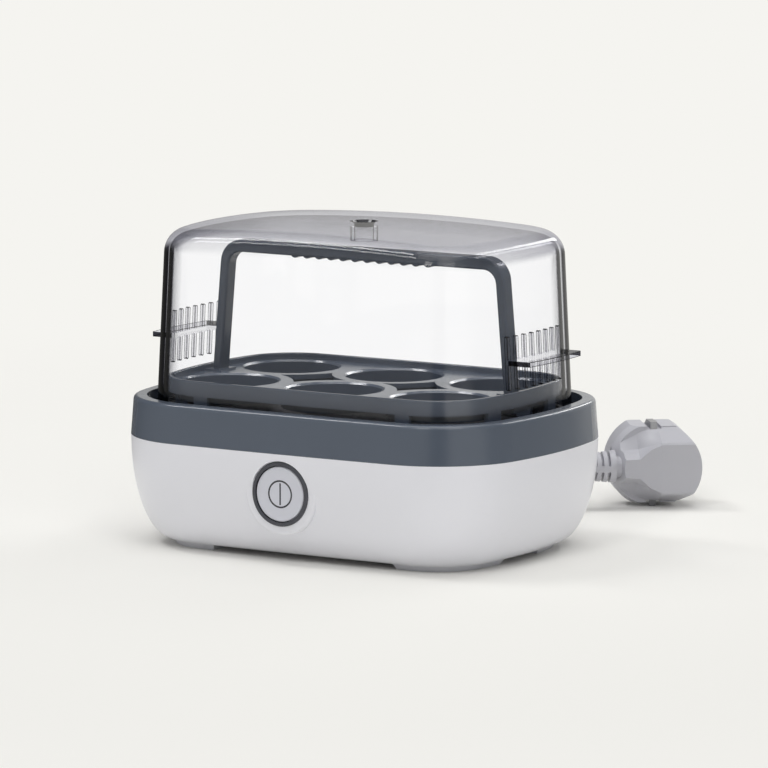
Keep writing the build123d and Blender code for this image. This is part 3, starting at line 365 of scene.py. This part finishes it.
def new_piece(name, mesh, body, material):
    """Adds a modelled piece that rides on a body."""
    piece = bpy.data.objects.new(name, mesh)
    bpy.context.scene.collection.objects.link(piece)
    mesh.materials.append(material)
    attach(piece, body)


def mesh_from(build, name):
    """Runs a function that fills a bmesh and makes the mesh."""
    work = bmesh.new()
    build(work)
    mesh = bpy.data.meshes.new(name)
    work.to_mesh(mesh)
    work.free()
    return mesh


# Lead
def toward(angle):
    return Vector((cos(angle), sin(angle), 0))


def coil_points():
    """Control points round the turns: in on the upper layer, down, and out on the lower one."""
    quarter = pi / 2
    part = quarter / POINTS_A_QUARTER
    shrink = COIL_PITCH / 4
    steps = [-shrink] * QUARTERS_IN + [0] + [shrink] * (QUARTERS_DOWN - 1 + QUARTERS_OUT)
    angle = COIL_HEADING - quarter - len(steps) * quarter
    low = COIL_LIFT + CORD_D / 2
    centre = COIL_CENTRE.copy()
    radius = COIL_R
    start = centre + toward(angle) * radius
    points = [start - toward(angle + quarter) * CORD_D + Vector((0, 0, low + LAYER_STEP))]
    for k, step in enumerate(steps):
        for i in range(POINTS_A_QUARTER):
            turned = k - QUARTERS_IN + (i + 0.5) / POINTS_A_QUARTER
            fallen = min(1.0, max(0.0, turned / QUARTERS_DOWN))
            z = low + LAYER_STEP * (1 - fallen * fallen * (3 - 2 * fallen))
            reach = radius / cos(part / 2)
            points.append(centre + toward(angle + part * (i + 0.5)) * reach + Vector((0, 0, z)))
        angle += quarter
        centre = centre - toward(angle) * step
        radius += step
    end = centre + toward(angle) * radius
    points.append(end + toward(angle + quarter) * CORD_D + Vector((0, 0, low)))
    return points


def make_cord(material):
    """The whole free lead as one smooth curve."""
    points = [Vector(p) for p in LEAD_ROUTE] + coil_points() + [Vector(p) for p in TAIL_ROUTE]
    data = bpy.data.curves.new("mains_lead", "CURVE")
    data.dimensions = "3D"
    spline = data.splines.new("NURBS")
    spline.points.add(len(points) - 1)
    for point, place in zip(spline.points, points):
        point.co = (*place, 1.0)
    spline.order_u = 3
    spline.use_endpoint_u = True
    spline.resolution_u = 6
    data.bevel_depth = CORD_D / 2
    data.bevel_resolution = 5
    data.use_fill_caps = True
    data.materials.append(material)
    cord = bpy.data.objects.new("mains_lead", data)
    bpy.context.scene.collection.objects.link(cord)
    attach(cord, "base")
    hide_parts("cord_lead", "cord_coil", "cord_tail")


# Sign on the button
def on_button(x, z, up):
    """A point on the button's dished face, or a little in front of it."""
    sunk = BUTTON_DISH - (DISH_R - sqrt(DISH_R**2 - hypot(x, z)**2))
    return (x, BUTTON_FACE + max(0.0, sunk) - up, BUTTON_Z + z)


def wall_between(work, first, second):
    """Faces between two closed rows of points."""
    count = len(first)
    for k in range(count):
        after = (k + 1) % count
        work.faces.new((first[k], first[after], second[after], second[k]))


def sign_circle(work):
    inner = SIGN_R - SIGN_LINE
    rings = []
    for radius, up in ((SIGN_R, 0), (SIGN_R, SIGN_LIFT), (inner, SIGN_LIFT), (inner, 0)):
        turns = [2 * pi * k / SIGN_STEPS for k in range(SIGN_STEPS)]
        rings.append([work.verts.new(on_button(radius * cos(t), radius * sin(t), up)) for t in turns])
    for first, second in zip(rings, rings[1:] + rings[:1]):
        wall_between(work, first, second)


def sign_bar(work):
    side = SIGN_LINE / 2
    heights = [SIGN_BAR / 2 * (2 * k / BAR_STEPS - 1) for k in range(BAR_STEPS + 1)]
    low, high = [
        [work.verts.new(on_button(-side, z, up)) for z in heights]
        + [work.verts.new(on_button(side, z, up)) for z in reversed(heights)]
        for up in (0, SIGN_LIFT)]
    wall_between(work, low, high)
    work.faces.new(high)
    work.faces.new(list(reversed(low)))


def make_sign(material):
    """Thin printed circle and bar of the on and off symbol."""
    for name, build in (("sign_circle", sign_circle), ("sign_bar", sign_bar)):
        new_piece(name, mesh_from(build, name), "button", material)


# Camera, light and floor
def make_camera():
    back = Vector((sin(CAMERA_AZIMUTH) * cos(CAMERA_ELEVATION),
                   -cos(CAMERA_AZIMUTH) * cos(CAMERA_ELEVATION),
                   sin(CAMERA_ELEVATION)))
    data = bpy.data.cameras.new("camera")
    data.lens = LENS_MM
    data.sensor_width = 36.0
    data.clip_start = 0.1
    data.clip_end = 100.0
    camera = bpy.data.objects.new("camera", data)
    camera.location = TARGET + back * CAMERA_DISTANCE
    camera.rotation_euler = (-back).to_track_quat("-Z", "Y").to_euler()
    bpy.context.scene.collection.objects.link(camera)
    bpy.context.scene.camera = camera


def room_tone(s, direction):
    """How bright the studio is for gloss in a compass direction from the object."""
    parts = s.node("SeparateXYZ", {0: direction}).outputs
    angle = s.math("ARCTAN2", parts["X"], s.math("MULTIPLY", parts["Y"], -1.0))
    stops = [((degrees + 180) / 360, [c * tone for c in PAPER[:3]] + [1.0])
             for degrees, tone in ROOM_TONES]
    return s.ramp(s.spread(angle, 0.0, 1.0, -pi, pi), stops)


def seen_colour(s, direction, ways):
    """Paper to the eye, white through the clear lid, and the studio's tones to gloss."""
    through = s.over(ways["Transparent Depth"], 0.5)
    eye = s.mixed(through, PAPER, BRIGHT)
    return s.mixed(ways["Is Glossy Ray"], eye, room_tone(s, direction))


def make_floor():
    """Paper that takes the object's shadow and turns into the plain backdrop further out."""
    def grid(work):
        bmesh.ops.create_grid(work, x_segments=1, y_segments=1, size=FLOOR_HALF)

    mesh = mesh_from(grid, "floor")
    floor = bpy.data.objects.new("floor", mesh)
    bpy.context.scene.collection.objects.link(floor)
    s = Shader("floor_paper")
    ways = s.node("LightPath").outputs
    distance = s.length(s.place)
    through = s.over(ways["Transparent Depth"], 0.5)
    eye = s.either(ways["Is Camera Ray"], ways["Is Transmission Ray"])
    by_eye = s.both(s.either(s.fade(distance, *EYE_FADE), through), eye)
    by_gloss = s.both(s.fade(distance, *GLOSS_FADE), ways["Is Glossy Ray"])
    paper = s.node("BsdfDiffuse", {"Color": PAPER, "Roughness": 0.5})
    glow = s.node("Emission", {"Color": seen_colour(s, s.place, ways), "Strength": 1.0})
    mesh.materials.append(s.show(s.blend(s.either(by_eye, by_gloss), paper, glow)))


def make_world():
    """A pale backdrop to the eye and to gloss, and a plain even light."""
    world = bpy.data.worlds.new("studio")
    bpy.context.scene.world = world
    s = Shader("studio", world)
    ways = s.node("LightPath").outputs
    eye = s.either(ways["Is Camera Ray"], ways["Is Transmission Ray"])
    backdrop_colour = seen_colour(s, s.coords["Generated"], ways)
    backdrop = s.node("Background", {"Color": backdrop_colour, "Strength": 1.0})
    light = s.node("Background", {"Color": BRIGHT, "Strength": WORLD_LIGHT})
    s.show(s.blend(s.either(eye, ways["Is Glossy Ray"]), light, backdrop), "OutputWorld")


def lamp(name, place, aim, size, power, along):
    """A soft box at a place, facing the aim, with its first side as near as it can be to along."""
    data = bpy.data.lights.new(name, "AREA")
    data.shape = "RECTANGLE"
    data.size, data.size_y = size
    data.energy = power
    back = (Vector(place) - Vector(aim)).normalized()
    side = Vector(along)
    side = (side - back * side.dot(back)).normalized()
    made = bpy.data.objects.new(name, data)
    made.location = place
    made.rotation_euler = Matrix((side, back.cross(side), back)).transposed().to_euler()
    bpy.context.scene.collection.objects.link(made)


make_camera()
make_floor()
make_world()
for one in LAMPS:
    lamp(*one)

cord_skin = moulded("cord_sheath", CORD_GREY, rough=0.45, grain=0.6)
make_cord(cord_skin)
make_sign(moulded("sign_print", SIGN_GREY, rough=0.5))

# Outside
give(moulded("white_shell", WHITE, rough=0.32, grain=0.05, depth=0.002, coat=0.2, uneven=0.003),
     "lower_housing")
give(moulded("slate_band", SLATE, rough=0.24, grain=0.2, coat=0.3), "upper_housing")
give(moulded("ring_plastic", RING_GREY, rough=0.32), "button_ring")
give(moulded("button_cap", BUTTON_GREY, rough=0.36, grain=0.3, depth=0.01), "push_button")
give(moulded("tray_plastic", TRAY_GREY, rough=0.20, grain=0.3, depth=0.03, ior=1.6), "egg_tray")
give(moulded("handle_plastic", HANDLE_GREY, rough=0.24, grain=0.3, depth=0.03, ior=1.6), "tray_handle")
give(clear_lid("lid_clear"), "lid")
give(metal("pan_steel", PAN_STEEL, rough=0.32, brush=(1.0, 12.0, 1.0)), "heating_pan")

# Inside the base
give(metal("plated_steel", PLATED_STEEL, rough=0.3), "pan_studs", "stud_nuts", "pan_brackets",
     "bracket_screws", "housing_screws", "switch_bracket", "switch_screws", "clamp_screws",
     "thermostat_clip")
give(metal("heat_aluminium", ALUMINIUM, rough=0.35, brush=(14.0, 1.0, 1.0)), "heat_plate")
give(metal("element_sheath", ELEMENT_STEEL, rough=0.45), "heating_element")
give(moulded("seal_silicone", SEAL_GREY, rough=0.6), "pan_seal")
give(moulded("thermostat_body", THERMOSTAT_BROWN, rough=0.5), "thermostat")
give(moulded("fuse_sleeve", SLEEVE_CREAM, rough=0.8, grain=1.0), "thermal_fuse")
give(moulded("switch_plastic", SWITCH_BLACK, rough=0.45), "switch_body", "switch_plunger",
     "cord_clamp", "terminal_block")
give(moulded("wire_insulation", WIRE_BROWN, rough=0.5), "inner_wires")

# Lead and plug
give(cord_skin, "cord_gland", "cord_inside")
give(moulded("tie_plastic", TIE_BLACK, rough=0.5), "cord_tie")
give(moulded("plug_plastic", PLUG_GREY, rough=0.40, grain=0.6, depth=0.015), "plug_body", "plug_relief")
give(metal("pin_metal", PIN_METAL, rough=0.18), "plug_pins")
give(metal("clip_metal", CLIP_METAL, rough=0.35), "plug_earth_clips")

bpy.context.scene.view_settings.view_transform = "Standard"
